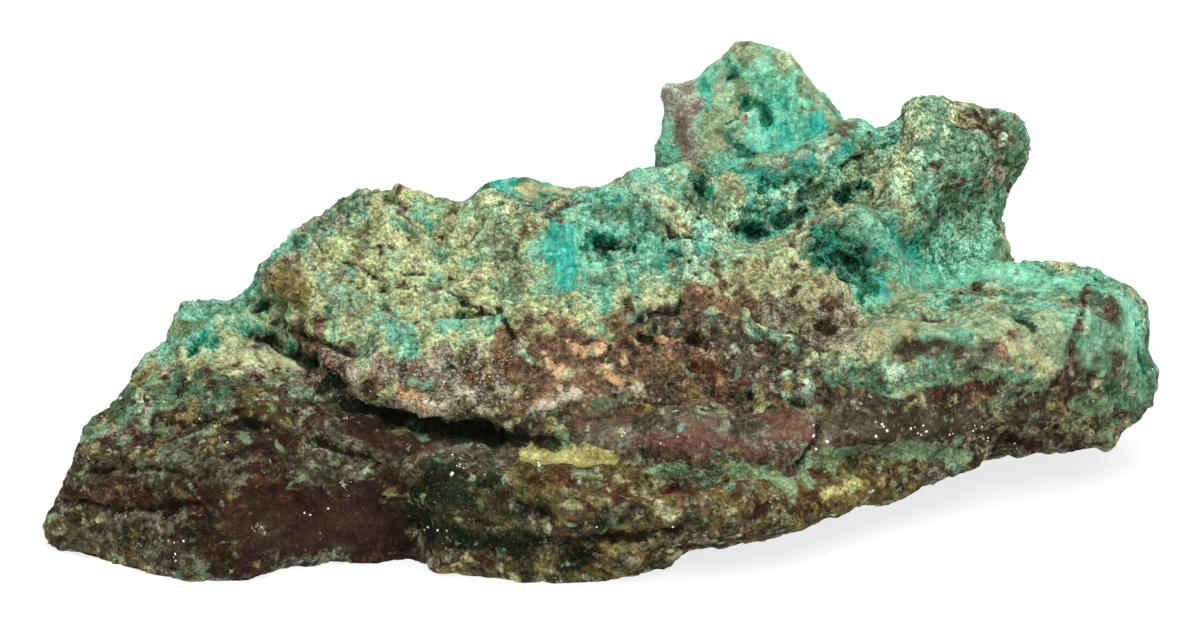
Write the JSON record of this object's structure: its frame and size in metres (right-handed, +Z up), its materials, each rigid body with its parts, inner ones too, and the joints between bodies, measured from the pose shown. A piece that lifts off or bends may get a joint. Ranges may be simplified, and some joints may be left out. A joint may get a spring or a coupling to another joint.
{
  "type": "raw chrysocolla stone",
  "caption": "Rough lump of copper ore with green and blue-green crust over dark bedded rock, twin peaks at one end and a ledge along its front.",
  "frame": {"origin": "on the ground, under the middle of the stone's bounding box, as it lies on its flat underside", "axes": "+X runs along the stone's length, from its low pointed end to its blunt end; +Y runs from the broken front face to the back; +Z is up"},
  "size_m": [0.11, 0.0568, 0.0387],
  "materials": {
    "copper_ore": "rough, matt broken rock with a granular green and blue-green copper crust above dark red-brown bedded ore"
  },
  "bodies": {
    "root": {"stone": "copper_ore"}
  },
  "joints": []
}
